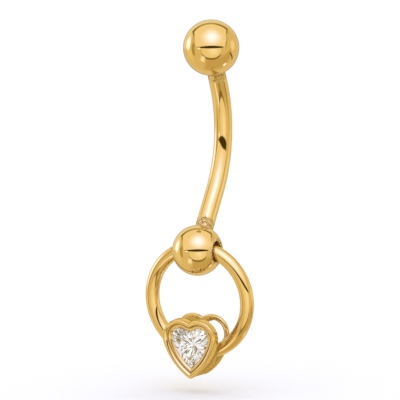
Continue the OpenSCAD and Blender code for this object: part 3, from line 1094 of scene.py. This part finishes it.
def makeFloor():
    # A flat sheet of white paper below the object
    reach = paper["reach"]
    points = [(x, y, paper["height"]) for y in (-reach, reach) for x in (-reach, reach)]
    mesh = bpy.data.meshes.new("paleFloor")
    mesh.from_pydata(points, [], [[0, 1, 3, 2]])
    floor = placeObject("paleFloor", mesh)
    material, tree, shader, place = emptyMaterial("palePaper")
    grain = noise(tree, place, *paper["grain"])
    link(tree, mixColour(tree, grain, *paper["colours"]), shader.inputs["Base Color"])
    shader.inputs["Roughness"].default_value = paper["roughness"]
    shader.inputs["Specular IOR Level"].default_value = paper["specular"]
    floor.data.materials.append(material)
    floor.visible_glossy = False


# The light tent, in angles about the line of sight: turn runs from the viewer (0) up over the object
# (90 overhead) to behind it (180), across is the sine of the angle to the right, near is the part of a
# direction towards the viewer and high its part upwards
tent = {
    "base": (0.76, 0.665, 0.43),
    # turn from, to, across from, to, softness of turn and across, colour
    "back": [
        (116, 205, -1.1, 0.35, 8, 0.35, (0.88, 0.86, 0.68)),
        (-205, -130, -1.1, 0.9, 12, 0.2, (0.76, 0.69, 0.48)),
        (-108, -45, -0.32, 1.1, 14, 0.16, (0.60, 0.485, 0.24)),
    ],
    "bands": [
        (104, 119, -0.60, 0.66, 3, 0.06, (0.56, 0.48, 0.27)),
        (107, 120, 0.16, 0.66, 4, 0.16, (0.36, 0.26, 0.10)),
    ],
    "spots": [
        (-70, -43, -0.62, -0.40, 6, 0.05, (1.05, 1.08, 1.15)),
        (-111, -98, 0.55, 0.68, 4, 0.03, (1.2, 1.35, 1.9)),
        (-10, -2, -0.84, -0.72, 3, 0.03, (1.4, 1.45, 1.8)),
    ],
    "edge": {"near": (-0.82, -0.98), "colour": (0.50, 0.42, 0.22)},
    # the sheet of light overhead, and the lines round it
    "main": {"back": -0.33, "corners": (0.83, 0.74), "slant": 0.42, "side": (-0.93, 0.86), "low": 4.0,
             "lowPerWidth": 25, "lowSoft": 1, "soft": 0.015, "colour": (0.953, 0.89, 0.74)},
    "glow": {"turn": 44, "across": 0.04, "reach": (56, 0.95), "falloff": 1.6, "colour": (1.3, 1.56, 3.3)},
    "outline": {"width": 0.045, "soft": 0.025, "colour": (0.52, 0.40, 0.18)},
    "farLine": {"behind": 0.19, "soft": 0.02, "near": (0.0, -0.2), "colour": (0.18, 0.12, 0.025)},
    # the disc of light below it, with its glow and its rim
    "low": {"turn": -4, "across": 0.02, "reach": (41, 0.64), "top": (-2, -5), "soft": (1.04, 0.96),
            "power": 3, "colour": (0.91, 0.84, 0.62)},
    "lowGlow": {"turn": -14, "across": 0.16, "reach": (30, 0.5), "colour": (1.06, 1.05, 1.05)},
    "rim": {"grow": (8.1, 0.045), "turn": (-26, -42), "colour": (0.27, 0.19, 0.06)},
    # the dark slit between the two
    "slit": {"turn": 0.2, "half": 5.6, "across": (-0.86, 0.76, 0.05), "tilt": 1.0, "thinner": 0.7,
             "soft": (1.15, 0.85), "colour": (0.06, 0.042, 0.01)},
    # side, near and half, height and half, softness, colour
    "sides": [
        (-1, (0.14, 0.16), (-0.1, 0.36), 0.6, (0.47, 0.38, 0.15)),
        (-1, (-0.24, 0.28), (-0.05, 0.55), 0.5, (0.86, 0.79, 0.51)),
        (-1, (-0.34, 0.23), (0.18, 0.28), 0.85, (1.4, 1.55, 2.9)),
        (1, (-0.18, 0.26), (0.1, 0.26), 0.8, (0.96, 0.93, 0.72)),
    ],
    "sideFrom": (0.5, 0.6),
    "accent": {"near": (-0.46, 0.06, 0.05), "height": -0.285, "slope": 0.3, "off": (0.05, 0.025),
               "colour": (0.10, 0.06, 0.015)},
    "paper": (1.08, 1.08, 1.09),  # what lights the floor
    "stoneGain": (1.17, 1.11, 1.0),
    "stoneContrast": 1.35,
    "background": (1.0, 1.0, 1.0),
}


def seenBy(tree, colour):
    # The stone sees the tent in grey, the floor an even white one, and the camera the plain background
    paths = tree.nodes.new("ShaderNodeLightPath").outputs
    grey = tree.nodes.new("ShaderNodeRGBToBW")
    link(tree, colour, grey.inputs["Color"])
    plain = tree.nodes.new("ShaderNodeCombineColor")
    value = calc(tree, "POWER", grey.outputs["Val"], tent["stoneContrast"])
    for name, gain in zip(("Red", "Green", "Blue"), tent["stoneGain"]):
        link(tree, times(tree, value, gain), plain.inputs[name])
    colour = mixColour(tree, paths["Is Transmission Ray"], colour, plain.outputs["Color"])
    colour = mixColour(tree, paths["Is Diffuse Ray"], colour, (*tent["paper"], 1))
    return mixColour(tree, paths["Is Camera Ray"], colour, (*tent["background"], 1))


def makeTent():
    world = bpy.data.worlds.new("lightTent")
    scene.world = world
    world.use_nodes = True
    tree = world.node_tree
    tree.nodes.clear()
    direction = tree.nodes.new("ShaderNodeTexCoord").outputs["Generated"]
    axes = (tuple(axis) for axis in (right, up, back))
    across, high, near = (vectorMath(tree, "DOT_PRODUCT", direction, axis) for axis in axes)
    turn = times(tree, calc(tree, "ARCTAN2", high, near), 180 / math.pi)
    colour = (*tent["base"], 1)

    def paint(mask, shade):
        nonlocal colour
        colour = mixColour(tree, mask, colour, (*shade, 1))

    def step(value, at, soft):
        # Up across the place at, or down if soft is negative
        return ramp(tree, value, at - soft, at + soft)

    def window(value, low, high, soft):
        return times(tree, step(value, low, soft), step(value, high, -soft))

    def paintBoxes(boxes):
        for turnFrom, turnTo, left, rightEdge, softTurn, softAcross, shade in boxes:
            box = window(turn, turnFrom, turnTo, softTurn)
            paint(times(tree, box, window(across, left, rightEdge, softAcross)), shade)

    def distance(spot, grow=(0, 0), power=2):
        # 0 in the middle of a patch and 1 on its edge: an ellipse, or squarer with a higher power
        t = apart(tree, turn, spot["turn"], spot["reach"][0] + grow[0])
        c = apart(tree, across, spot["across"], spot["reach"][1] + grow[1])
        t, c = (calc(tree, "POWER", calc(tree, "ABSOLUTE", v), power) for v in (t, c))
        return calc(tree, "POWER", calc(tree, "ADD", t, c), 1 / power)

    def sheet(grow, soft, behind=0):
        # The sheet of light overhead: it ends behind, in front, and at two planes on each side
        main = tent["main"]
        low = main["low"] - main["lowPerWidth"] * grow
        mask = window(across, main["side"][0] - grow, main["side"][1] + grow, soft)
        mask = times(tree, mask, step(near, main["back"] - behind, soft), step(turn, low, main["lowSoft"]))
        lean = times(tree, near, main["slant"])
        for side, corner in zip((-1, 1), main["corners"]):
            reach = calc(tree, "SUBTRACT", times(tree, across, side), lean)
            mask = times(tree, mask, step(reach, corner + grow, -soft))
        return mask

    paintBoxes(tent["back"])
    edge = tent["edge"]
    paint(ramp(tree, near, *edge["near"]), edge["colour"])
    outline, farLine = tent["outline"], tent["farLine"]
    paint(sheet(outline["width"], outline["soft"]), outline["colour"])
    dark = sheet(outline["width"], farLine["soft"], farLine["behind"])
    paint(times(tree, dark, ramp(tree, near, *farLine["near"])), farLine["colour"])
    paintBoxes(tent["bands"])

    panel = sheet(0, tent["main"]["soft"])
    paint(panel, tent["main"]["colour"])
    glow = tent["glow"]
    bright = calc(tree, "POWER", ramp(tree, distance(glow), 1.0, 0.0), glow["falloff"])
    paint(times(tree, bright, panel), glow["colour"])

    low, lowGlow, rim = tent["low"], tent["lowGlow"], tent["rim"]
    around = ramp(tree, distance(low, rim["grow"], low["power"]), *low["soft"])
    paint(times(tree, around, ramp(tree, turn, *rim["turn"])), rim["colour"])
    disc = ramp(tree, distance(low, power=low["power"]), *low["soft"])
    disc = times(tree, disc, ramp(tree, turn, *low["top"]))
    paint(disc, low["colour"])
    paint(times(tree, ramp(tree, distance(lowGlow), 1.0, 0.0), disc), lowGlow["colour"])

    # the slit is thinner towards its ends
    slit = tent["slit"]
    half = calc(tree, "SUBTRACT", 1.0, times(tree, across, across, slit["thinner"]))
    middle = calc(tree, "ADD", slit["turn"], times(tree, across, slit["tilt"]))
    off = calc(tree, "ABSOLUTE", apart(tree, turn, middle, times(tree, half, slit["half"])))
    paint(times(tree, ramp(tree, off, *slit["soft"]), window(across, *slit["across"])), slit["colour"])
    paintBoxes(tent["spots"])

    for side, (nearAt, nearHalf), (heightAt, heightHalf), soft, shade in tent["sides"]:
        n, h = apart(tree, near, nearAt, nearHalf), apart(tree, high, heightAt, heightHalf)
        away = calc(tree, "ADD", times(tree, n, n), times(tree, h, h))
        beside = ramp(tree, across, *(side * value for value in tent["sideFrom"]))
        paint(times(tree, beside, ramp(tree, away, 1 + soft / 2, 1 - soft)), shade)
    accent = tent["accent"]
    line = calc(tree, "ADD", accent["height"], times(tree, near, accent["slope"]))
    off = calc(tree, "ABSOLUTE", calc(tree, "SUBTRACT", high, line))
    mask = times(tree, ramp(tree, off, *accent["off"]), window(near, *accent["near"]))
    paint(times(tree, mask, ramp(tree, across, *tent["sideFrom"])), accent["colour"])

    background = tree.nodes.new("ShaderNodeBackground")
    output = tree.nodes.new("ShaderNodeOutputWorld")
    link(tree, seenBy(tree, colour), background.inputs["Color"])
    link(tree, background.outputs[0], output.inputs["Surface"])


makeCamera()
makeFloor()
makeTent()
print("studio made")
